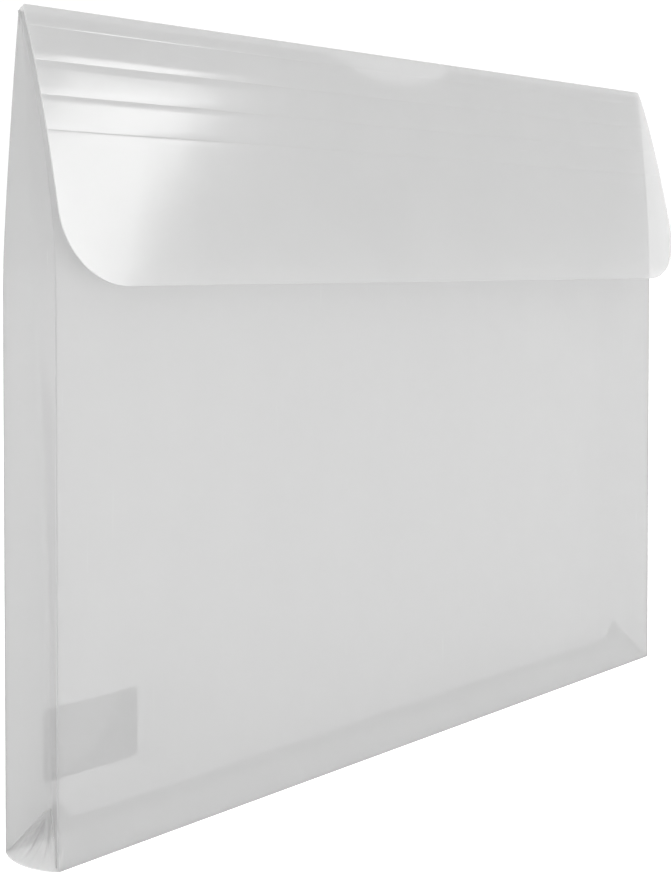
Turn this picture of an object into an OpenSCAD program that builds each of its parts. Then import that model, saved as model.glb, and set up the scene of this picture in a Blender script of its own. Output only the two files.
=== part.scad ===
// Clear portfolio case: two big sheets joined by a V-folded side and bottom gusset,
// with a scored front flap, a hook-and-loop closure and a blank label.
// X runs across the front, Y from front to back and Z up; the case stands on its lower folds.

/* [Case] */
// Width across the front
case_w = 333; // [300:1:360]
// Height from the floor to the fold of the flap
case_h = 248; // [235:1:265]
// Depth of the expanded case, outside the sheets
case_d = 24; // [22:0.5:26]
// Thickness of the plastic sheet
sheet_t = 0.5; // [0.4:0.05:0.6]

/* [Gusset] */
// Width of each half of the V-folded gusset
gusset_half = 13.2; // [12.6:0.1:14]

/* [Mouth] */
// Height at which the two big sheets start to lean together
lean_z = 166; // [150:1:175]
// How far the flap's fold is out of line with the front, in degrees
fold_skew = 1.53; // [0:0.01:2]
// Place of the fold's middle, forward of the middle of the depth
fold_forward = 1.15; // [0:0.05:2]
// Width of the thumb notch in the front sheet
notch_w = 66; // [50:1:80]
// Depth of the thumb notch
notch_h = 9; // [5:0.5:12]

/* [Flap] */
// Height of the strip between the fold and the first score
first_strip = 7; // [6:0.5:8]
// Spacing of the other scores
score_pitch = 10.5; // [9:0.5:11]
// Height of the flap below its last score
flap_panel_h = 45.5; // [40:0.5:50]
// Radius of the flap's lower corners
flap_corner_r = 22; // [15:1:30]

/* [Closure and label] */
// Width of the hook and loop patches
patch_w = 24.5; // [20:0.5:30]
// Height of the hook and loop patches
patch_h = 29; // [24:0.5:32]
// Thickness of one patch without its adhesive
patch_t = 0.9; // [0.6:0.1:1.2]
// Height of the middle of the closure
closure_z = 185.5; // [184.5:0.5:187]
// Width of the blank label
label_w = 38; // [30:1:45]
// Height of the blank label
label_h = 22; // [18:1:26]

/* [Hidden] */

clear = [0.80, 0.83, 0.86, 0.55];
patch_colour = [0.93, 0.94, 0.95, 0.85];
paper_colour = [0.78, 0.78, 0.79];

half_w = case_w / 2;
half_d = case_d / 2;
hinge_gap = 0.3;                        // left open between two panels at a fold line
fold_inset = 1.1;                       // from a sheet's inside face to a gusset's fold line
hinge_y = half_d - sheet_t - fold_inset;
hinge_x = half_w - 0.3;
hinge_z = 0.4;
gusset_angle = acos(hinge_y / gusset_half);   // each half's angle to the depth, at rest
gusset_back = 0.12;                     // from a half's fold plane to its near face
mitre_gap = 0.4;
gusset_top = 202;                       // above it the sheets lie too close for rigid plates
gusset_clear = 0.6;                     // between a gusset's upper edge and the sheets

flex_h = 8;
flex_z = lean_z - flex_h / 2;
front_top_z = case_h - 4;
front_top_gap = 0.5;                    // from the flap's fold forward to the front sheet's edge
front_curve = 1.6;
back_curve = 1.3;

adhesive_t = 0.2;
label_t = 0.2;
label_x = -half_w + 14.3;
label_z = 17;

flap_w = case_w - 1;
strip_h = [first_strip, score_pitch, score_pitch, score_pitch, flap_panel_h];
strip_lean = [24, 17.5, 16, 15, 12];    // degrees forward of straight down
flap_start = 0.4;                       // from the fold line to the flap's first edge

// Sum of the first n entries of a list
function sum(list, n) = n == 0 ? 0 : list[n - 1] + sum(list, n - 1);
// How far forward and down the flap has come at the top of strip k
function strip_forward(k) = sum([for (i = [0:4]) strip_h[i] * sin(strip_lean[i])], k);
function strip_down(k) = sum([for (i = [0:4]) strip_h[i] * cos(strip_lean[i])], k);

// How far the flap's lower corner reaches forward of its last score: the corner's arc is
// foremost where it faces straight forward
corner_out = sin(fold_skew);
corner_down = cos(fold_skew) * sin(strip_lean[4]);
panel_forward = (flap_w / 2 - flap_corner_r) * corner_out
              + (flap_panel_h - flap_corner_r) * corner_down
              + flap_corner_r * norm([corner_out, corner_down]);
flap_front_y = -fold_forward - (strip_forward(4) + sheet_t * cos(strip_lean[4])) * cos(fold_skew)
             - panel_forward;
// Puts the origin under the middle of the whole case, flap and label included
shift_y = -(flap_front_y + half_d + label_t) / 2;

// Depth of the fold line at a place across the width
function fold_y(x) = -fold_forward - x * tan(fold_skew);
// Outside face of the front sheet's upper part, and inside face of the back sheet's
function front_face(x, z) =
    let (u = max(0, (z - flex_z - flex_h) / (front_top_z - flex_z - flex_h)))
    -half_d + pow(u, front_curve) * (fold_y(x) - front_top_gap + half_d);
function back_face(x, z) =
    let (u = max(0, (z - lean_z) / (case_h - lean_z)))
    half_d - sheet_t + pow(u, back_curve) * (fold_y(x) - half_d + sheet_t);

// A curved sheet between y = face(x, z) and the same face moved by depth along Y
module curved_sheet(x0, x1, z0, z1, depth, columns, rows, face) {
    near = [for (i = [0:columns]) for (j = [0:rows])
            let (x = x0 + (x1 - x0) * i / columns, z = z0 + (z1 - z0) * j / rows)
            [x, face(x, z), z]];
    far = [for (p = near) p + [0, depth, 0]];
    n = len(near);
    function at(i, j) = i * (rows + 1) + j;
    // Each cell of the near face, then the same cells behind, turned round
    near_faces = [for (i = [0:columns - 1]) for (j = [0:rows - 1])
                  for (f = [[at(i, j), at(i, j + 1), at(i + 1, j + 1)],
                            [at(i, j), at(i + 1, j + 1), at(i + 1, j)]]) f];
    far_faces = [for (f = near_faces) [n + f[2], n + f[1], n + f[0]]];
    rim = concat([for (i = [0:columns]) at(i, 0)], [for (j = [1:rows]) at(columns, j)],
                 [for (i = [columns - 1:-1:0]) at(i, rows)], [for (j = [rows - 1:-1:1]) at(0, j)]);
    rim_faces = [for (k = [0:len(rim) - 1])
                 let (a = rim[k], b = rim[(k + 1) % len(rim)])
                 for (f = [[a, b, n + b], [a, n + b, n + a]]) f];
    polyhedron(concat(near, far), concat(near_faces, far_faces, rim_faces));
}

// Everything is drawn about the middle of the depth, then moved over the origin
module placed(colour) {
    color(colour) translate([0, shift_y, 0]) children();
}

module flat_panel(z0, z1, y0) {
    translate([-half_w, y0, z0]) cube([case_w, sheet_t, z1 - z0]);
}

module back_panel() {
    placed(clear) flat_panel(0, lean_z - hinge_gap / 2, half_d - sheet_t);
}

module back_panel_top() {
    placed(clear)
        curved_sheet(-half_w, half_w, lean_z + hinge_gap / 2, case_h - flap_start, sheet_t, 12, 8,
                     function(x, z) back_face(x, z));
}

module label() {
    placed(paper_colour)
        translate([label_x, half_d, label_z]) cube([label_w, label_t, label_h]);
}

// Side view of the space between the two sheets at one side of the case
module side_space(x) {
    steps = 8;
    front = [for (i = [0:steps]) let (z = lean_z + (gusset_top - lean_z) * i / steps)
             [front_face(x, z) + sheet_t + gusset_clear, z]];
    back = [for (i = [steps:-1:0]) let (z = lean_z + (gusset_top - lean_z) * i / steps)
            [back_face(x, z) - gusset_clear, z]];
    rotate([90, 0, 90]) translate([0, 0, -case_w]) linear_extrude(2 * case_w)
        polygon(concat([[-half_d, 0]], front, back, [[half_d, 0]]));
}

// One half of a side gusset, from the back sheet's fold line to the crease, on the left
module gusset_plate() {
    s0 = hinge_gap;
    s1 = gusset_half - hinge_gap;
    translate([-hinge_x, hinge_y, 0]) rotate([0, 0, gusset_angle - 90])
        translate([0, gusset_back + sheet_t, 0]) rotate([90, 0, 0]) linear_extrude(sheet_t)
            polygon([[s0, hinge_z + s0 + mitre_gap], [s1, hinge_z + s1 + mitre_gap],
                     [s1, gusset_top], [s0, gusset_top]]);
}

// side is -1 for left and 1 for right; end is 1 for rear and -1 for front
module gusset_piece(side, end) {
    placed(clear) intersection() {
        mirror([side > 0 ? 1 : 0, 0, 0]) mirror([0, end < 0 ? 1 : 0, 0]) gusset_plate();
        side_space(side * half_w);
    }
}

module gusset_left_rear() { gusset_piece(-1, 1); }
module gusset_left_front() { gusset_piece(-1, -1); }
module gusset_right_rear() { gusset_piece(1, 1); }
module gusset_right_front() { gusset_piece(1, -1); }

// One half of the bottom gusset; its ends are cut on the mitre to meet the side gussets
module bottom_piece(end) {
    s0 = hinge_gap;
    s1 = gusset_half - hinge_gap;
    x0 = hinge_x - s0 - mitre_gap;
    x1 = hinge_x - s1 - mitre_gap;
    placed(clear) mirror([0, end < 0 ? 1 : 0, 0])
        translate([0, hinge_y, hinge_z]) rotate([-gusset_angle, 0, 0])
            translate([0, 0, gusset_back]) linear_extrude(sheet_t)
                polygon([[-x0, -s0], [x0, -s0], [x1, -s1], [-x1, -s1]]);
}

module bottom_rear() { bottom_piece(1); }
module bottom_front() { bottom_piece(-1); }

module front_panel() {
    placed(clear) flat_panel(0, flex_z - hinge_gap / 2, -half_d);
}

module front_panel_flex() {
    placed(clear) flat_panel(flex_z + hinge_gap / 2, flex_z + flex_h - hinge_gap / 2, -half_d);
}

// The upper front sheet without its notch, or a layer of some depth in front of it
module front_layer(depth) {
    curved_sheet(-half_w, half_w, flex_z + flex_h + hinge_gap / 2, front_top_z, depth, 24, 12,
                 function(x, z) front_face(x, z));
}

// The notch is an arc with the stated width at the sheet's edge and the stated depth
module front_panel_top() {
    notch_r = (pow(notch_w / 2, 2) + pow(notch_h, 2)) / (2 * notch_h);
    placed(clear) difference() {
        front_layer(sheet_t);
        translate([0, 0, front_top_z - notch_h + notch_r]) rotate([90, 0, 0])
            cylinder(h = 2 * case_d, r = notch_r, center = true, $fn = 128);
    }
}

// Rounded patch lying in the XZ plane, from y = 0 forward to y = -depth
module patch(depth) {
    r = 6.5;
    w = patch_w / 2 - r;
    h = patch_h / 2 - r;
    rotate([90, 0, 0]) linear_extrude(depth) {
        square([patch_w, 2 * h], center = true);
        square([2 * w, patch_h], center = true);
        for (x = [-w, w]) for (z = [-h, h]) translate([x, z]) circle(r, $fn = 48);
    }
}

// A film of the patch's outline that follows the front sheet, from one distance off it to another
module film_on_front(near, far) {
    placed(patch_colour) intersection() {
        translate([0, -far, 0]) front_layer(far - near);
        translate([0, case_d, closure_z]) patch(2 * case_d);
    }
}

module loop_adhesive() { film_on_front(0, adhesive_t); }
module loop_patch() { film_on_front(adhesive_t, adhesive_t + patch_t); }

// Moves children to the top of strip k; the strip then hangs down along -Z, outside face to -Y
module at_strip(k) {
    translate([0, -fold_forward, case_h]) rotate([0, 0, -fold_skew])
        translate([0, -strip_forward(k), -strip_down(k)]) rotate([-strip_lean[k], 0, 0])
            children();
}

module flap_strip(k) {
    top = k == 0 ? flap_start : hinge_gap / 2;
    bottom = strip_h[k] - hinge_gap / 2;
    placed(clear) at_strip(k)
        translate([-flap_w / 2, -sheet_t, -bottom]) cube([flap_w, sheet_t, bottom - top]);
}

module flap_strip_1() { flap_strip(0); }
module flap_strip_2() { flap_strip(1); }
module flap_strip_3() { flap_strip(2); }
module flap_strip_4() { flap_strip(3); }

module flap_panel() {
    r = flap_corner_r;
    w = flap_w / 2;
    placed(clear) at_strip(4) rotate([90, 0, 0]) linear_extrude(sheet_t) {
        translate([-w, r - flap_panel_h]) square([2 * w, flap_panel_h - r - hinge_gap / 2]);
        translate([r - w, -flap_panel_h]) square([2 * (w - r), r]);
        for (x = [r - w, w - r]) translate([x, r - flap_panel_h]) circle(r, $fn = 96);
    }
}

// Puts children on the flap's inside face, opposite the loop patch
module inside_flap() {
    down = (case_h - strip_down(4) - closure_z) / cos(strip_lean[4]);
    at_strip(4) translate([0, 0, -down]) mirror([0, 1, 0]) children();
}

module hook_adhesive() {
    placed(patch_colour) inside_flap() patch(adhesive_t);
}

module hook_patch() {
    placed(patch_colour) inside_flap() translate([0, -adhesive_t, 0]) patch(patch_t);
}

back_panel();
back_panel_top();
label();
gusset_left_rear();
gusset_left_front();
gusset_right_rear();
gusset_right_front();
bottom_rear();
bottom_front();
front_panel();
front_panel_flex();
front_panel_top();
loop_adhesive();
loop_patch();
flap_strip_1();
flap_strip_2();
flap_strip_3();
flap_strip_4();
flap_panel();
hook_adhesive();
hook_patch();
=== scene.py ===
"""Clear portfolio case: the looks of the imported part, in metres, in the part's own frame.

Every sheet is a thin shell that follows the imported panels. The flap hangs in five parts
between its scores, the side and bottom gussets are V-folded strips, and the lower corners are
crumpled webs.
"""

import math

import bpy
import numpy as np
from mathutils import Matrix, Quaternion, Vector


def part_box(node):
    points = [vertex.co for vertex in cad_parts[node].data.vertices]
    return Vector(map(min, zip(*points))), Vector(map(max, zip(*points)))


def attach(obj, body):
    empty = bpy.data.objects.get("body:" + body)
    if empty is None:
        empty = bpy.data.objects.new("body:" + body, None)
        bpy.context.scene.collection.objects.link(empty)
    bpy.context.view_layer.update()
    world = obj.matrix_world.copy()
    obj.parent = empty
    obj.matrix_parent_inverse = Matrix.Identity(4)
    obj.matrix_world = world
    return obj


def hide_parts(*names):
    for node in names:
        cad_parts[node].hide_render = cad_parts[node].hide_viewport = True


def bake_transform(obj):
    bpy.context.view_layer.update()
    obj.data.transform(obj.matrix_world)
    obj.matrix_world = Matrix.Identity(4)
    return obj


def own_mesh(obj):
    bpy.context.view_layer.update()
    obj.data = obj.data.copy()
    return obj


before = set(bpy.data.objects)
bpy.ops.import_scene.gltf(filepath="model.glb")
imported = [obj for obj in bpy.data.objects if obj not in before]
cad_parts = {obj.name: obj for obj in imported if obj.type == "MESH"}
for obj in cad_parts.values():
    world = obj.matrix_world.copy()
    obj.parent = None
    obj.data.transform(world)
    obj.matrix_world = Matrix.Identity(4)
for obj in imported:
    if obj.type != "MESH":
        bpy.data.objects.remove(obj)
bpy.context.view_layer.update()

MM = 0.001

# ---- Sizes, in millimetres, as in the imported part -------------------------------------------

SHEET = 0.5                 # thickness of the plastic
CASE_H = 248.0
HALF_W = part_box("back_panel")[1].x / MM
FRONT_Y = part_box("front_panel")[0].y / MM       # outside face of the front sheet
BACK_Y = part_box("back_panel")[1].y / MM         # outside face of the back sheet
MID_Y = (FRONT_Y + BACK_Y) / 2
HALF_D = (BACK_Y - FRONT_Y) / 2
SKEW = math.radians(1.53)   # how far the flap's fold is out of line with the front
FOLD_FORWARD = 1.15
LEAN_Z = 166.0              # above it the back sheet leans forward
FRONT_LEAN_Z = 170.0        # above it the front sheet leans back
FRONT_TOP_Z = 244.0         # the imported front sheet's top, which sets its curve
FRONT_EDGE_Z = 245.6        # where the shown front sheet ends, tucked under the fold
BACK_TOP_Z = CASE_H - 0.7     # where the shown back sheet goes on into the fold
FRONT_CURVE = 1.6
BACK_CURVE = 1.3
FOLD_Z = 247.3              # centre of the fold's small radius
FOLD_R = 0.5

NOTCH_HALF = 33.5
NOTCH_DEPTH = 8.2

FLAP_HALF = HALF_W - 0.5
SCORES = (0.0, 7.0, 17.5, 28.0, 38.5, 84.0)     # distances down the flap from its fold
FLAP_LEAN = ((0, 24.0), (7, 19.5), (17.5, 16.5), (28, 15.5), (38.5, 13.5), (60, 12.0), (84, 11.5))
FLAP_CORNER = 22.0
SCORE_HALF = 0.35           # half the width of a score's groove
SCORE_DEPTH = 0.05
TOP_CORNER = 1.6            # rounding of the outline where the fold ends

EDGE = 0.35                 # radius of the folds that join the gussets to the big sheets
CREASE_TOP_Z = 200.0        # the side gusset is cut here into a lower and an upper part
APEX_Z = 14.0               # lower end of a side gusset's crease
BOTTOM_CREASE_Z = 8.6
CORNER_BULGE = 3.0          # how far a lower corner stands out at its foot
WEB_T = 0.4                 # thickness of a corner's crumpled sheet
WEB_SAG = 0.30
WEB_FOLD = 1.15             # depth of its fan of small folds
WEB_DENT = 2.2
TUCK_RIDGE = 2.4
CREASE_IN = ((0, 6.6), (14, 7.0), (50, 6.6), (90, 6.0), (125, 4.3), (165, 2.1), (200, 1.1),
             (230, 0.6), (248, 0.1))    # how far in the side crease lies, by height

SHEET_WAVE = 0.12           # slow unevenness of the big sheets
FLAP_WAVE = 0.15
RIPPLE = 0.10               # finer unevenness of the gussets

PATCH_W = 24.5
PATCH_H = 29.0
PATCH_R = 6.5
PATCH_T = 0.9
FILM_T = 0.2
CLOSURE_Z = 185.5
CLOSURE_LEAN = math.radians(12)     # the flap panel's lean at the closure


def fold_y(x):
    """Depth of the flap's fold line at x."""
    return MID_Y - FOLD_FORWARD - x * math.tan(SKEW)


def front_face(x, z):
    """Outside face of the front sheet."""
    u = np.clip((z - FRONT_LEAN_Z) / (FRONT_TOP_Z - FRONT_LEAN_Z), 0, None)
    return FRONT_Y + u ** FRONT_CURVE * (fold_y(x) - SHEET - FRONT_Y)


def back_face(x, z):
    """Outside face of the back sheet."""
    u = np.clip((z - LEAN_Z) / (CASE_H - LEAN_Z), 0, None)
    inside = BACK_Y - SHEET
    return inside + u ** BACK_CURVE * (fold_y(x) - inside) + SHEET


def crease_in(z):
    """How far inwards the side gusset's crease lies at height z."""
    heights, depths = zip(*CREASE_IN)
    smooth = [np.interp(np.clip(z + d, 0, CASE_H), heights, depths) for d in (-9, -4, 0, 4, 9)]
    return sum(smooth) / len(smooth)


def flap_line():
    """The flap's outside face seen from its end: distances down it, how far forward, how far down."""
    s = np.linspace(0, SCORES[-1], 841)
    at, lean = zip(*FLAP_LEAN)
    a = np.radians(np.interp(s, at, lean))
    step = np.diff(s, prepend=0.0)
    return s, np.cumsum(np.sin(a) * step), np.cumsum(np.cos(a) * step), a


FLAP_S, FLAP_FORWARD, FLAP_DOWN, FLAP_ANGLE = flap_line()


def flap_point(x, s, lift=0.0):
    """A point on the flap, s down from its fold, lifted off its outside face by lift."""
    forward = np.interp(s, FLAP_S, FLAP_FORWARD)
    down = np.interp(s, FLAP_S, FLAP_DOWN)
    a = np.interp(s, FLAP_S, FLAP_ANGLE)
    f = forward + (SHEET + lift) * np.cos(a)
    z = CASE_H - down + (SHEET + lift) * np.sin(a) - 0.15
    px = x * math.cos(SKEW) - f * math.sin(SKEW)
    py = MID_Y - FOLD_FORWARD - x * math.sin(SKEW) - f * math.cos(SKEW)
    return px, py, z


# ---- Mesh builders ----------------------------------------------------------------------------

def new_object(name, points, faces, material, flat_from=None):
    """A mesh object from points in millimetres. Faces from flat_from on are shaded flat."""
    mesh = bpy.data.meshes.new(name)
    mesh.from_pydata([tuple(p * MM) for p in np.asarray(points, float)], [], faces)
    mesh.update()
    smooth = [flat_from is None or i < flat_from for i in range(len(faces))]
    mesh.polygons.foreach_set("use_smooth", smooth)
    if flat_from is not None:
        rim = {key for polygon in mesh.polygons[flat_from:] for key in polygon.edge_keys}
        marks = mesh.attributes.new("sharp_edge", "BOOLEAN", "EDGE")
        marks.data.foreach_set("value", [edge.key in rim for edge in mesh.edges])
    mesh.materials.append(material)
    obj = bpy.data.objects.new(name, mesh)
    bpy.context.scene.collection.objects.link(obj)
    return obj


def grid_normals(grid):
    du = np.gradient(grid, axis=1)
    dv = np.gradient(grid, axis=0)
    n = np.cross(du, dv)
    return n / np.maximum(np.linalg.norm(n, axis=2, keepdims=True), 1e-9)


def border(rows, cols):
    """The grid's border as (row, column) pairs in order."""
    loop = [(0, i) for i in range(cols)]
    loop += [(j, cols - 1) for j in range(1, rows)]
    loop += [(rows - 1, i) for i in range(cols - 2, -1, -1)]
    loop += [(j, 0) for j in range(rows - 2, 0, -1)]
    return loop


def shell(name, grid, material, thick=SHEET, outward=(0, -1, 0), rim=0.3, joined=()):
    """A thin sheet. The grid is its outside face, and outward says which way that faces. The rim
    stands out by a share of the thickness, so that the edge is rounded. It has no rim on the rows
    in joined, where the next piece of the same sheet goes on."""
    grid = np.asarray(grid, float)
    rows, cols = grid.shape[:2]
    normals = grid_normals(grid)
    if np.mean(normals.reshape(-1, 3), axis=0) @ np.array(outward, float) < 0:
        normals = -normals
        grid = grid[:, ::-1]
        normals = normals[:, ::-1]
    inner = grid - normals * thick
    loop = border(rows, cols)
    middle = (grid + inner) / 2
    edge = []
    for j, i in loop:
        jn = min(max(j, 1), rows - 2)
        i_n = min(max(i, 1), cols - 2)
        away = middle[j, i] - middle[jn, i_n]
        away /= max(np.linalg.norm(away), 1e-9)
        edge.append(middle[j, i] + away * thick * rim)
    n = rows * cols
    points = np.concatenate([grid.reshape(-1, 3), inner.reshape(-1, 3), np.array(edge)])

    def at(j, i):
        return j * cols + i

    faces = []
    for j in range(rows - 1):
        for i in range(cols - 1):
            a, b, c, d = at(j, i), at(j, i + 1), at(j + 1, i + 1), at(j + 1, i)
            faces.append((a, b, c, d))
            faces.append((n + d, n + c, n + b, n + a))
    flat_from = len(faces)
    count = len(loop)
    open_rows = [row % rows for row in joined]
    for k in range(count):
        k2 = (k + 1) % count
        if loop[k][0] == loop[k2][0] and loop[k][0] in open_rows:
            continue
        a, b = at(*loop[k]), at(*loop[k2])
        ea, eb = 2 * n + k, 2 * n + k2
        faces.append((b, a, ea, eb))
        faces.append((n + a, n + b, eb, ea))
    return new_object(name, points, faces, material, flat_from)


def spread(low, high, count, ends=0.0):
    """Evenly spread values, drawn towards both ends by the share given."""
    u = np.linspace(0, 1, count)
    eased = (1 - np.cos(np.pi * u)) / 2
    return low + (high - low) * (u * (1 - ends) + eased * ends)


def wave(x, z, size, seed):
    """A slow, small unevenness, as a sheet of plastic has."""
    a = np.sin(x / 61.0 + seed) * np.cos(z / 47.0 + 1.7 * seed)
    b = np.sin(x / 23.0 + z / 37.0 + 2.3 * seed)
    return size * (0.7 * a + 0.3 * b)


def rounded_rectangle(width, height, radius, count=10):
    """Points round a rectangle with rounded corners, in order."""
    out = []
    for cx, cz, start in ((1, 1, 0), (-1, 1, 90), (-1, -1, 180), (1, -1, 270)):
        for a in np.radians(np.linspace(start, start + 90, count)):
            out.append((cx * (width / 2 - radius) + radius * math.cos(a),
                        cz * (height / 2 - radius) + radius * math.sin(a)))
    return np.array(out)


def pad(name, outline, thick, place, material, soft=0.25, rings=5):
    """A thin patch of the outline given. place(x, z, lift) puts a point at lift off its base."""
    layers = [(1.0, 0.0, 0.0), (1.0, thick - soft, 0.0), (1.0, thick - soft * 0.3, soft * 0.3),
              (1.0, thick, soft)]
    for k in range(1, rings):
        layers.append((1 - k / rings, thick, soft))
    half = np.abs(outline).max(axis=0)
    points = []
    for scale, lift, inset in layers:
        ring = outline * scale * (1 - inset / half)
        points += [place(x, z, lift) for x, z in ring]
    count = len(outline)
    faces = []
    for k in range(len(layers) - 1):
        for i in range(count):
            a, b = k * count + i, k * count + (i + 1) % count
            faces.append((a, b, b + count, a + count))
    top = len(points)
    points.append(place(0, 0, thick))
    last = (len(layers) - 1) * count
    for i in range(count):
        faces.append((last + i, last + (i + 1) % count, top))
    base = len(points)
    base_rings = 3
    for k in range(1, base_rings):
        points += [place(x, z, 0.0) for x, z in outline * (1 - k / base_rings)]
    points.append(place(0, 0, 0.0))
    previous = 0
    for k in range(1, base_rings):
        start = base + (k - 1) * count
        for i in range(count):
            j = (i + 1) % count
            faces.append((previous + j, previous + i, start + i, start + j))
        previous = start
    for i in range(count):
        faces.append((previous + (i + 1) % count, previous + i, len(points) - 1))
    return new_object(name, points, faces, material)


# ---- Materials --------------------------------------------------------------------------------

class Nodes:
    """A short way to write a material's nodes."""

    def __init__(self, name):
        self.material = bpy.data.materials.new(name)
        self.material.use_nodes = True
        self.tree = self.material.node_tree
        self.tree.nodes.clear()
        self.out = self.node("ShaderNodeOutputMaterial")

    def node(self, kind, **values):
        n = self.tree.nodes.new(kind)
        for key, value in values.items():
            setattr(n, key, value)
        return n

    def link(self, a, b):
        self.tree.links.new(a, b)

    def coordinates(self, scale=(1, 1, 1)):
        """The piece's own coordinates, stretched."""
        texture = self.node("ShaderNodeTexCoord")
        mapping = self.node("ShaderNodeMapping")
        mapping.inputs["Scale"].default_value = scale
        self.link(texture.outputs["Object"], mapping.inputs["Vector"])
        return mapping.outputs["Vector"]

    def noise(self, scale, detail=3.0, rough=0.5, stretch=(1, 1, 1), distortion=0.0):
        n = self.node("ShaderNodeTexNoise")
        n.inputs["Scale"].default_value = scale
        n.inputs["Detail"].default_value = detail
        n.inputs["Roughness"].default_value = rough
        n.inputs["Distortion"].default_value = distortion
        self.link(self.coordinates(stretch), n.inputs["Vector"])
        return n.outputs["Fac"]

    def remap(self, value, low, high, to_low, to_high):
        m = self.node("ShaderNodeMapRange")
        m.inputs["From Min"].default_value = low
        m.inputs["From Max"].default_value = high
        m.inputs["To Min"].default_value = to_low
        m.inputs["To Max"].default_value = to_high
        self.link(value, m.inputs["Value"])
        return m.outputs["Result"]

    def maths(self, operation, a, b):
        m = self.node("ShaderNodeMath", operation=operation)
        for socket, value in zip(m.inputs, (a, b)):
            if isinstance(value, (int, float)):
                socket.default_value = value
            else:
                self.link(value, socket)
        return m.outputs["Value"]

    def ramp(self, value, low, high):
        r = self.node("ShaderNodeValToRGB")
        r.color_ramp.elements[0].color = (*low, 1)
        r.color_ramp.elements[1].color = (*high, 1)
        self.link(value, r.inputs["Fac"])
        return r.outputs["Color"]

    def bump(self, height, strength, distance):
        b = self.node("ShaderNodeBump")
        b.inputs["Strength"].default_value = strength
        b.inputs["Distance"].default_value = distance
        self.link(height, b.inputs["Height"])
        return b.outputs["Normal"]


def scratches(n):
    """Fine hairlines, mostly upright or across, where two stretched noises peak."""
    upright = n.noise(30.0, 2.0, 0.6, (60.0, 60.0, 1.2))
    across = n.noise(26.0, 2.0, 0.6, (1.0, 40.0, 70.0))
    a = n.remap(upright, 0.70, 0.78, 0.0, 1.0)
    b = n.remap(across, 0.71, 0.80, 0.0, 1.0)
    return n.maths("MAXIMUM", a, b)


def sheet_material(name, shade, opacity, haze, rough=0.16):
    """Clear, faintly milky plastic: part see-through, part lit on its face, part glowing with the
    light that comes through from behind. Opacity is one face's; a sheet has two."""
    n = Nodes(name)
    mottle = n.noise(9.0, 4.0, 0.55)
    streaks = n.noise(5.0, 2.0, 0.45, (4.0, 4.0, 0.6))
    marks = scratches(n)
    blend = n.maths("ADD", n.maths("MULTIPLY", mottle, 0.75), n.maths("MULTIPLY", streaks, 0.25))
    low = [shade * 0.965] * 3
    high = [min(1.0, shade * 1.035)] * 3
    colour = n.ramp(blend, low, high)
    surface = n.node("ShaderNodeBsdfPrincipled")
    surface.inputs["IOR"].default_value = 1.49
    n.link(colour, surface.inputs["Base Color"])
    fine = n.noise(420.0, 2.0, 0.5)
    roughness = n.maths("ADD", n.remap(mottle, 0.3, 0.7, rough * 0.85, rough * 1.2),
                        n.maths("MULTIPLY", marks, 0.12))
    n.link(roughness, surface.inputs["Roughness"])
    height = n.maths("ADD", n.maths("MULTIPLY", mottle, 1.0), n.maths("MULTIPLY", fine, 0.02))
    height = n.maths("SUBTRACT", height, n.maths("MULTIPLY", marks, 0.01))
    normal = n.bump(height, 0.25, 0.0012)
    n.link(normal, surface.inputs["Normal"])
    through = n.node("ShaderNodeBsdfTranslucent")
    n.link(colour, through.inputs["Color"])
    body = n.node("ShaderNodeMixShader")
    body.inputs["Fac"].default_value = haze
    n.link(surface.outputs["BSDF"], body.inputs[1])
    n.link(through.outputs["BSDF"], body.inputs[2])
    clear = n.node("ShaderNodeBsdfTransparent")
    mix = n.node("ShaderNodeMixShader")
    cover = n.maths("ADD", n.remap(blend, 0.35, 0.65, opacity - 0.012, opacity + 0.012),
                    n.maths("MULTIPLY", marks, 0.02))
    n.link(cover, mix.inputs["Fac"])
    n.link(clear.outputs["BSDF"], mix.inputs[1])
    n.link(body.outputs["Shader"], mix.inputs[2])
    n.link(mix.outputs["Shader"], n.out.inputs["Surface"])
    return n.material


def tape_material(name, shade, rows, depth, opacity):
    """Hook tape or loop pile: fine rows with a woven unevenness."""
    n = Nodes(name)
    tuft = n.node("ShaderNodeTexVoronoi")
    tuft.inputs["Scale"].default_value = rows
    n.link(n.coordinates((1.0, 1.0, 0.8)), tuft.inputs["Vector"])
    cloud = n.noise(160.0, 3.0, 0.6)
    pattern = n.maths("ADD", n.maths("MULTIPLY", tuft.outputs["Distance"], 0.8),
                      n.maths("MULTIPLY", cloud, 0.4))
    colour = n.ramp(pattern, [shade * 0.86] * 3, [min(1.0, shade * 1.04)] * 3)
    surface = n.node("ShaderNodeBsdfPrincipled")
    n.link(colour, surface.inputs["Base Color"])
    n.link(n.remap(cloud, 0.3, 0.7, 0.55, 0.8), surface.inputs["Roughness"])
    n.link(n.bump(pattern, 0.8, depth), surface.inputs["Normal"])
    through = n.node("ShaderNodeBsdfTranslucent")
    n.link(colour, through.inputs["Color"])
    body = n.node("ShaderNodeMixShader")
    body.inputs["Fac"].default_value = 0.4
    n.link(surface.outputs["BSDF"], body.inputs[1])
    n.link(through.outputs["BSDF"], body.inputs[2])
    clear = n.node("ShaderNodeBsdfTransparent")
    mix = n.node("ShaderNodeMixShader")
    n.link(n.remap(cloud, 0.3, 0.7, opacity - 0.04, opacity + 0.04), mix.inputs["Fac"])
    n.link(clear.outputs["BSDF"], mix.inputs[1])
    n.link(body.outputs["Shader"], mix.inputs[2])
    n.link(mix.outputs["Shader"], n.out.inputs["Surface"])
    return n.material


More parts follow.
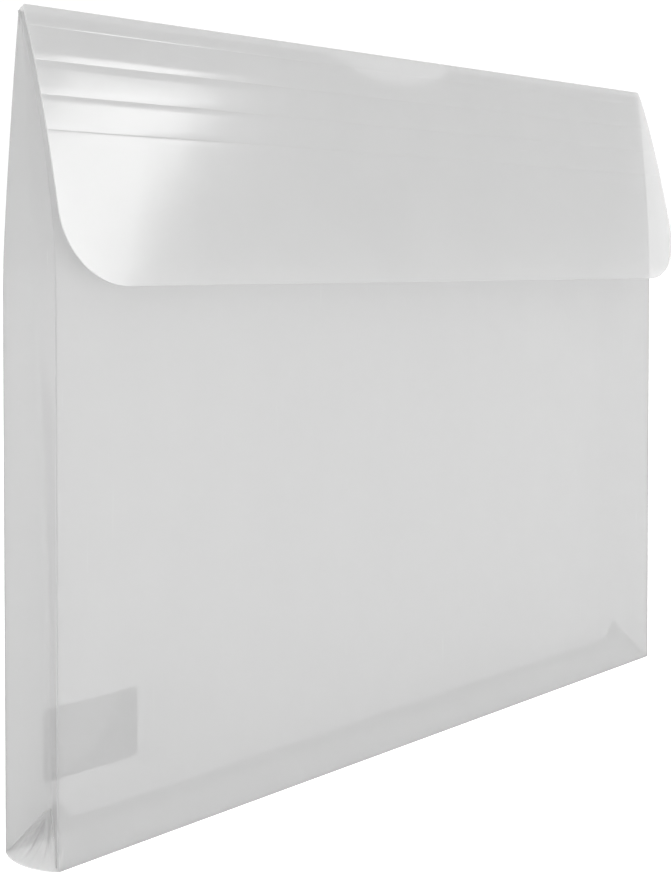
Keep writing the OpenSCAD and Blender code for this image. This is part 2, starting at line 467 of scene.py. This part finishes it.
def paper_material(name, shade):
    """Satin sticker paper with a faint fibre."""
    n = Nodes(name)
    fibre = n.noise(260.0, 4.0, 0.6, (1.0, 1.0, 0.4))
    cloud = n.noise(24.0, 3.0, 0.5)
    both = n.maths("ADD", n.maths("MULTIPLY", fibre, 0.5), n.maths("MULTIPLY", cloud, 0.5))
    surface = n.node("ShaderNodeBsdfPrincipled")
    n.link(n.ramp(both, [shade * 0.94] * 3, [shade * 1.03] * 3), surface.inputs["Base Color"])
    n.link(n.remap(fibre, 0.3, 0.7, 0.42, 0.58), surface.inputs["Roughness"])
    n.link(n.bump(fibre, 0.3, 0.0001), surface.inputs["Normal"])
    n.link(surface.outputs["BSDF"], n.out.inputs["Surface"])
    return n.material


CLEAR = sheet_material("clear_sheet", 0.715, 0.52, 0.45)
# The gussets' copy of the clear sheet is a little darker: painted shade, standing in for the lesser light
# that falls on the side and bottom gussets and corners.
CLEAR_GUSSET_PAINTED_SHADE = sheet_material("clear_sheet_gusset_painted_shade", 0.700, 0.54, 0.45)
# The flap's copy of the clear sheet is lighter: painted light, standing in for the light that falls on
# the flap.
CLEAR_FLAP_PAINTED_LIGHT = sheet_material("clear_sheet_flap_painted_light", 0.77, 0.54, 0.40, rough=0.12)
FILM = sheet_material("adhesive_film", 0.85, 0.05, 0.40, rough=0.3)
LOOP = tape_material("loop_pile", 1.0, 900.0, 0.0004, 0.36)
HOOK = tape_material("hook_tape", 1.0, 1300.0, 0.0003, 0.26)
PAPER = paper_material("label_paper", 0.78)


# ---- The two big sheets -----------------------------------------------------------------------

def half_width(below, half):
    """Half the sheet's width at a distance below the fold, where its corners are rounded."""
    d = np.clip(below, 0, TOP_CORNER)
    return half - TOP_CORNER + np.sqrt(np.maximum(TOP_CORNER ** 2 - (TOP_CORNER - d) ** 2, 0))


def upright_grid(columns, heights, face, half, top=None):
    """A grid over a big sheet. half(z) is half its width, and top(x) its upper edge."""
    grid = np.zeros((len(heights), len(columns), 3))
    low, high = heights[0], heights[-1]
    for j, z0 in enumerate(heights):
        share = (z0 - low) / (high - low)
        for i, c in enumerate(columns):
            x = c * half(z0)
            z = z0 if top is None else low + (top(x) - low) * share
            grid[j, i] = (x, face(x, z), z)
    return grid


def edge_columns(count):
    return spread(-1, 1, count, 0.5)


def back_sheet():
    heights = np.concatenate([spread(EDGE, 160, 34), np.linspace(164, 240, 39),
                              BACK_TOP_Z - TOP_CORNER * (1 - np.sin(np.linspace(0.1, 1, 10)
                                                                      * np.pi / 2))])

    def face(x, z):
        return back_face(x, z) + wave(x, z, SHEET_WAVE, 0.4) * min(1, (CASE_H - z) / 40)

    def half(z):
        return half_width(BACK_TOP_Z - z, HALF_W - EDGE)

    grid = upright_grid(edge_columns(61), heights, face, half)
    obj = shell("back_sheet", grid, CLEAR, outward=(0, 1, 0))
    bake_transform(obj)
    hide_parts("back_panel", "back_panel_top")


def notch_top(x):
    """The front sheet's upper edge, with its thumb notch."""
    radius = (NOTCH_HALF ** 2 + NOTCH_DEPTH ** 2) / (2 * NOTCH_DEPTH)
    if abs(x) >= NOTCH_HALF:
        return FRONT_EDGE_Z
    return FRONT_EDGE_Z - NOTCH_DEPTH + radius - math.sqrt(radius ** 2 - x * x)


def front_shape(x, z):
    return front_face(x, z) + wave(x, z, SHEET_WAVE, 2.1) * np.clip((FRONT_EDGE_Z - z) / 40, 0, 1)


def front_sheets():
    middle = FRONT_LEAN_Z - 4

    def plain(z):
        return HALF_W - EDGE

    lower = upright_grid(edge_columns(61), np.concatenate([spread(EDGE, 156, 34),
                                                           np.linspace(158, middle, 5)]),
                         front_shape, plain)
    obj = shell("front_sheet_lower", lower, CLEAR, rim=0.0, joined=(-1,))
    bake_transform(obj)
    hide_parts("front_panel")
    notch = np.linspace(-NOTCH_HALF, NOTCH_HALF, 41) / (HALF_W - EDGE)
    sides = spread(NOTCH_HALF + 1.5, HALF_W - EDGE, 26) / (HALF_W - EDGE)
    columns = np.concatenate([-sides[::-1], notch, sides])
    upper = upright_grid(columns, np.linspace(middle, FRONT_EDGE_Z, 34), front_shape, plain,
                         notch_top)
    obj = shell("front_sheet_upper", upper, CLEAR, rim=0.0, joined=(0,))
    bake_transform(obj)
    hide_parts("front_panel_flex", "front_panel_top")


# ---- Gussets ----------------------------------------------------------------------------------

def soft_v(count, radius=0.12):
    """Places along a V-folded strip from one edge to the other, as (along, inward share), with
    the fold in its middle slightly rounded."""
    u = spread(-1, 1, count, 0.25)
    inward = 1 - np.sqrt(u * u + radius * radius) + radius
    ends = 1 - math.sqrt(1 + radius * radius) + radius
    return u, (inward - ends) / (inward.max() - ends)


V_U, V_IN = soft_v(29)


def mitre(t):
    """How high a side gusset's lower edge is, t of the way from an outside fold to its crease."""
    return EDGE + (APEX_Z - EDGE) * t


def side_section(side, t_rows, share):
    """One row of a side gusset from back to front. share goes up from its lower edge."""
    low, high = t_rows
    row = []
    for u, inward in zip(V_U, V_IN):
        start = mitre(inward) if low is None else low
        z = start + (high - start) * share
        back, front = back_face(side * HALF_W, z), front_face(side * HALF_W, z)
        y = (back + front) / 2 - u * (back - front - 2 * EDGE) / 2
        depth = crease_in(z) * inward
        ripple = RIPPLE * math.sin(z / 9.0 + 3 * u) * (1 - u * u)
        row.append((side * (HALF_W - depth - ripple), y, z))
    turn = np.radians(np.linspace(90, 0, 4))[:-1]
    for end in (0, -1):
        x, y, z = row[end]
        sign = 1 if end == 0 else -1
        arc = [(side * (HALF_W - EDGE + EDGE * math.cos(a)), y + sign * EDGE * math.sin(a), z)
               for a in turn]
        row = arc + row if end == 0 else row + arc[::-1]
    return row


def side_gusset(side, label):
    shares = np.concatenate([spread(0, 0.18, 14), np.linspace(0.2, 1, 40)])
    lower = [side_section(side, (None, CREASE_TOP_Z), s) for s in shares]
    obj = shell(f"gusset_{label}_lower", lower, CLEAR_GUSSET_PAINTED_SHADE, outward=(side, 0, 0), rim=0.0, joined=(-1,))
    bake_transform(obj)
    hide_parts(f"gusset_{label}_rear", f"gusset_{label}_front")
    top = [side_section(side, (CREASE_TOP_Z, CASE_H - 2.2), s) for s in np.linspace(0, 1, 26)]
    obj = shell(f"gusset_{label}_upper", top, CLEAR_GUSSET_PAINTED_SHADE, outward=(side, 0, 0), rim=0.0, joined=(0,))
    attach(obj, "back_panel_top")
    anchor = (side * HALF_W * MM, back_face(side * HALF_W, 215.0) * MM, 215.0 * MM)
    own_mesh(obj)


def bottom_gusset():
    columns = spread(-1, 1, 61, 0.5)
    grid = []
    for u, inward in zip(V_U, V_IN):
        half = HALF_W - EDGE - (APEX_Z - EDGE) * inward
        y = MID_Y - u * (HALF_D - EDGE)
        row = []
        for c in columns:
            x = c * half
            z = BOTTOM_CREASE_Z * inward + RIPPLE * math.sin(x / 15.0 + 2 * u) * (1 - u * u)
            row.append((x, y, max(z, 0.0)))
        grid.append(row)
    for end in (0, -1):
        sign = 1 if end == 0 else -1
        arc = []
        for a in np.radians(np.linspace(90, 0, 4))[:-1]:
            arc.append([(x, y + sign * EDGE * math.sin(a), EDGE - EDGE * math.cos(a))
                        for x, y, z in grid[end]])
        grid = arc + grid if end == 0 else grid + arc[::-1]
    obj = shell("gusset_bottom", grid, CLEAR_GUSSET_PAINTED_SHADE, outward=(0, 0, -1), rim=0.0)
    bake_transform(obj)
    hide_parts("bottom_rear", "bottom_front")


def corner_web(side, label):
    """The crumpled sheet at a lower corner, from the floor up to the side crease's lower end."""
    rows, cols = 15, 41
    x_apex = HALF_W - crease_in(APEX_Z)
    grid = np.zeros((rows, cols, 3))
    for j, v in enumerate(np.linspace(0, 1, rows)):
        for i, u in enumerate(np.linspace(-1, 1, cols)):
            across = u * (1 - v)
            y = MID_Y - across * (HALF_D - EDGE)
            bulge = 1 - u * u
            x = HALF_W + (x_apex - HALF_W) * v + CORNER_BULGE * bulge * (1 - v) ** 2
            z = EDGE + (APEX_Z - EDGE) * v - (WEB_SAG + EDGE) * bulge * (1 - v) ** 3
            fan = math.sin(9.0 * u + 0.8) + 0.6 * math.sin(17.0 * u + 2.0 * v + 1.1)
            fold = abs(fan) - 0.55
            fade = math.sin(math.pi * min(1, v * 1.15)) * bulge
            dent = math.exp(-((u - 0.25) / 0.3) ** 2)
            x -= (WEB_FOLD * fold + WEB_DENT * dent) * fade
            grid[j, i] = (side * x, y, max(z, 0.0))
    obj = shell(f"corner_web_{label}", grid, CLEAR_GUSSET_PAINTED_SHADE, WEB_T, (side, 0, 0), rim=0.0)
    ride_and_flatten(obj)


def corner_tuck(side, label):
    """The sheet behind a corner's web, which reaches in to the bottom gusset's crease."""
    rows, cols = 12, 25
    x_apex = HALF_W - crease_in(APEX_Z)
    x_inner = HALF_W - APEX_Z - 0.5
    grid = np.zeros((rows, cols, 3))
    for j, v in enumerate(np.linspace(0, 1, rows)):
        for i, u in enumerate(np.linspace(-1, 1, cols)):
            inward = 1 - abs(u) ** 1.15
            x_out = HALF_W - (HALF_W - x_apex) * inward - 0.5
            x_in = HALF_W - EDGE - (HALF_W - x_inner) * inward
            z_out = EDGE + 0.6 + (APEX_Z - EDGE) * inward
            z_in = 0.8 + BOTTOM_CREASE_Z * inward
            pinch = math.sin(math.pi * v)
            x = x_out + (x_in - x_out) * v
            z = z_out + (z_in - z_out) * v + TUCK_RIDGE * pinch * inward ** 3
            y = MID_Y - u * (HALF_D - 1.1) * (1 - 0.25 * pinch * inward)
            z += 0.5 * math.sin(11 * u + 5 * v) * pinch * (1 - u * u)
            grid[j, i] = (side * x, y, z)
    obj = shell(f"corner_tuck_{label}", grid, CLEAR_GUSSET_PAINTED_SHADE, WEB_T, (side, 0, 1), rim=0.0)
    ride_and_flatten(obj)


def ride_and_flatten(obj):
    """A corner's sheet stays on the back sheet and goes with its body, with a mesh of its own."""
    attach(obj, "back_panel")
    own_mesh(obj)


# ---- Flap -------------------------------------------------------------------------------------

def fold_crest():
    """The small radius where the back sheet turns over into the flap."""
    grid = []
    for a in np.radians(np.linspace(-20, 158, 13)):
        row = []
        for c in edge_columns(61):
            x = c * (HALF_W - TOP_CORNER)
            y = fold_y(x) + FOLD_R * math.cos(a)
            row.append((x, y, FOLD_Z + FOLD_R * math.sin(a)))
        grid.append(row)
    obj = shell("fold_crest", grid, CLEAR, thick=SHEET * 0.85, outward=(0, 0, 1))
    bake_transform(obj)


def flap_half(s):
    """Half the flap's width at distance s down from its fold."""
    half = half_width(s, FLAP_HALF)
    start = SCORES[-1] - FLAP_CORNER
    if s > start:
        drop = min(s - start, FLAP_CORNER)
        half -= FLAP_CORNER - math.sqrt(max(FLAP_CORNER ** 2 - drop ** 2, 0))
    return half


def flap_part(index):
    s0, s1 = SCORES[index], SCORES[index + 1]
    if index == 0:
        rows = TOP_CORNER * (1 - np.cos(np.linspace(0.12, 1, 8) * np.pi / 2))
        rows = np.concatenate([rows + 0.3, np.linspace(TOP_CORNER + 0.8, s1 - SCORE_HALF, 4), [s1]])
    elif index == 4:
        start = s1 - FLAP_CORNER
        turn = np.sin(np.linspace(0, 1, 22) * np.pi / 2) * FLAP_CORNER
        rows = np.concatenate([[s0], np.linspace(s0 + SCORE_HALF, start - 1.5, 12), start + turn])
    else:
        rows = np.concatenate([[s0], np.linspace(s0 + SCORE_HALF, s1 - SCORE_HALF, 5), [s1]])
    grid = []
    for s in rows:
        half = flap_half(s)
        row = []
        for c in edge_columns(61):
            x = c * half
            sag = wave(x, s, FLAP_WAVE, 5.0) * min(1.0, s / 20)
            if s in SCORES[1:5]:
                sag -= SCORE_DEPTH
            row.append(flap_point(x, s, sag))
        grid.append(row)
    name = "flap_panel" if index == 4 else f"flap_strip_{index + 1}"
    joined = (0,) if index == 4 else (-1,) if index == 0 else (0, -1)
    obj = shell(f"{name}_sheet", grid, CLEAR_FLAP_PAINTED_LIGHT, rim=0.3 if index == 4 else 0.0, joined=joined)
    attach(obj, name)
    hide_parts(name)


# ---- Closure and label ------------------------------------------------------------------------

def closure():
    outline = rounded_rectangle(PATCH_W, PATCH_H, PATCH_R)

    def on_front(base):
        def place(x, z, lift):
            height = CLOSURE_Z + z
            return np.array([x, front_shape(x, height) - base - lift, height])
        return place

    down = (CASE_H - CLOSURE_Z - np.interp(SCORES[4], FLAP_S, FLAP_DOWN))
    centre = SCORES[4] + down / math.cos(CLOSURE_LEAN)

    def on_flap(base):
        def place(x, z, lift):
            return np.array(flap_point(x, centre - z, -SHEET - base - lift))
        return place

    film = pad("loop_film", outline, FILM_T, on_front(0.0), FILM, soft=0.05)
    pile = pad("loop_pile", outline, PATCH_T, on_front(FILM_T), LOOP)
    back_film = pad("hook_film", outline, FILM_T, on_flap(0.0), FILM, soft=0.05)
    hooks = pad("hook_tape", outline, PATCH_T, on_flap(FILM_T), HOOK)
    for obj, body, node, slot in ((film, "front_panel_top", "loop_adhesive", "adhesive"),
                                  (pile, "front_panel_top", "loop_patch", "loop_pile"),
                                  (back_film, "flap_panel", "hook_adhesive", "adhesive"),
                                  (hooks, "flap_panel", "hook_patch", "hook_tape")):
        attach(obj, body)
        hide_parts(node)


def label():
    low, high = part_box("label")
    size = (high - low) / MM
    centre = (high + low) / 2 / MM
    outline = rounded_rectangle(size.x, size.z, 1.2, 6)

    def place(x, z, lift):
        return np.array([centre.x + x, low.y / MM + lift, centre.z + z])

    obj = pad("blank_label", outline, size.y, place, PAPER, soft=0.05)
    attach(obj, "back_panel")
    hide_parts("label")


back_sheet()
front_sheets()
for side, label_name in ((-1, "left"), (1, "right")):
    side_gusset(side, label_name)
    corner_web(side, label_name)
    corner_tuck(side, label_name)
bottom_gusset()
fold_crest()
for index in range(5):
    flap_part(index)
closure()
label()


# ---- Floor, light and camera ------------------------------------------------------------------

WHITE = (1, 1, 1, 1)
FLOOR_GLOW = 0.45           # a little light of its own keeps the floor white near the case
FLOOR_Z = -0.05


def floor():
    n = Nodes("pale_floor")
    cloud = n.noise(2.0, 2.0, 0.5)
    surface = n.node("ShaderNodeBsdfPrincipled")
    n.link(n.ramp(cloud, [0.955] * 3, [0.965] * 3), surface.inputs["Base Color"])
    surface.inputs["Roughness"].default_value = 0.9
    surface.inputs["Specular IOR Level"].default_value = 0.0
    surface.inputs["Emission Color"].default_value = WHITE
    surface.inputs["Emission Strength"].default_value = FLOOR_GLOW
    n.link(surface.outputs["BSDF"], n.out.inputs["Surface"])
    size = 30000
    corners = [(x, y, FLOOR_Z) for x, y in ((-size, -size), (size, -size), (size, size), (-size, size))]
    obj = new_object("floor", np.array(corners, float), [(0, 1, 2, 3)], n.material)


def area_light(name, direction, distance, size, power, target, roll):
    data = bpy.data.lights.new(name, "AREA")
    data.shape = "RECTANGLE"
    data.size, data.size_y = size
    data.energy = power
    obj = bpy.data.objects.new(name, data)
    bpy.context.scene.collection.objects.link(obj)
    d = np.array(direction, float)
    d /= np.linalg.norm(d)
    obj.location = Vector(target) + Vector(d) * distance
    facing = Vector(-d).to_track_quat("-Z", "Y") @ Quaternion((0, 0, 1), math.radians(roll))
    obj.rotation_euler = facing.to_euler()
    return obj


STUDIO_STRENGTH = 1.06
DIM_SIDE = (-0.40, 0.92, 0.0)       # the studio is dimmer on the side behind the left gusset
DIM_STRENGTH = 0.35
SOFTBOX_SIDE = (0.665, -0.642, 0.383)
SOFTBOX_SIZE = (0.19, 0.50)
SOFTBOX_AIM = (-0.216, -0.084, 0.220)


def light():
    world = bpy.data.worlds.new("studio")
    world.use_nodes = True
    nodes, links = world.node_tree.nodes, world.node_tree.links
    background = nodes["Background"]
    background.inputs["Color"].default_value = WHITE
    toward = nodes.new("ShaderNodeTexCoord")
    dot = nodes.new("ShaderNodeVectorMath")
    dot.operation = "DOT_PRODUCT"
    dot.inputs[1].default_value = DIM_SIDE
    strength = nodes.new("ShaderNodeMapRange")
    strength.interpolation_type = "SMOOTHSTEP"
    strength.inputs["From Min"].default_value = 0.45
    strength.inputs["From Max"].default_value = 0.95
    strength.inputs["To Min"].default_value = STUDIO_STRENGTH
    strength.inputs["To Max"].default_value = DIM_STRENGTH
    links.new(toward.outputs["Generated"], dot.inputs[0])
    links.new(dot.outputs["Value"], strength.inputs["Value"])
    links.new(strength.outputs["Result"], background.inputs["Strength"])
    bpy.context.scene.world = world
    glare = area_light("flap_softbox", SOFTBOX_SIDE, 1.6, SOFTBOX_SIZE, 5.0, SOFTBOX_AIM, -35)
    glare.visible_diffuse = False


CAMERA_PLACE = (-0.46230, -0.36124, 0.17390)
CAMERA_TURN = (88.5, 0.0, -49.49)
LENS = 66.3973              # millimetres, on a 36 mm sensor
LENS_SHIFT = -0.154494


def camera():
    data = bpy.data.cameras.new("camera")
    data.sensor_width = 36.0
    data.lens = LENS
    data.shift_y = LENS_SHIFT
    data.clip_start = 0.01
    data.clip_end = 200.0
    obj = bpy.data.objects.new("camera", data)
    obj.location = CAMERA_PLACE
    obj.rotation_euler = [math.radians(a) for a in CAMERA_TURN]
    bpy.context.scene.collection.objects.link(obj)
    bpy.context.scene.camera = obj
    bpy.context.scene.view_settings.view_transform = "Standard"


def light_paths():
    """Enough bounces for a look through every sheet, patch and film, one behind another."""
    cycles = bpy.context.scene.cycles
    cycles.transparent_max_bounces = 64
    cycles.max_bounces = 16
    cycles.diffuse_bounces = 8


floor()
light()
camera()
light_paths()
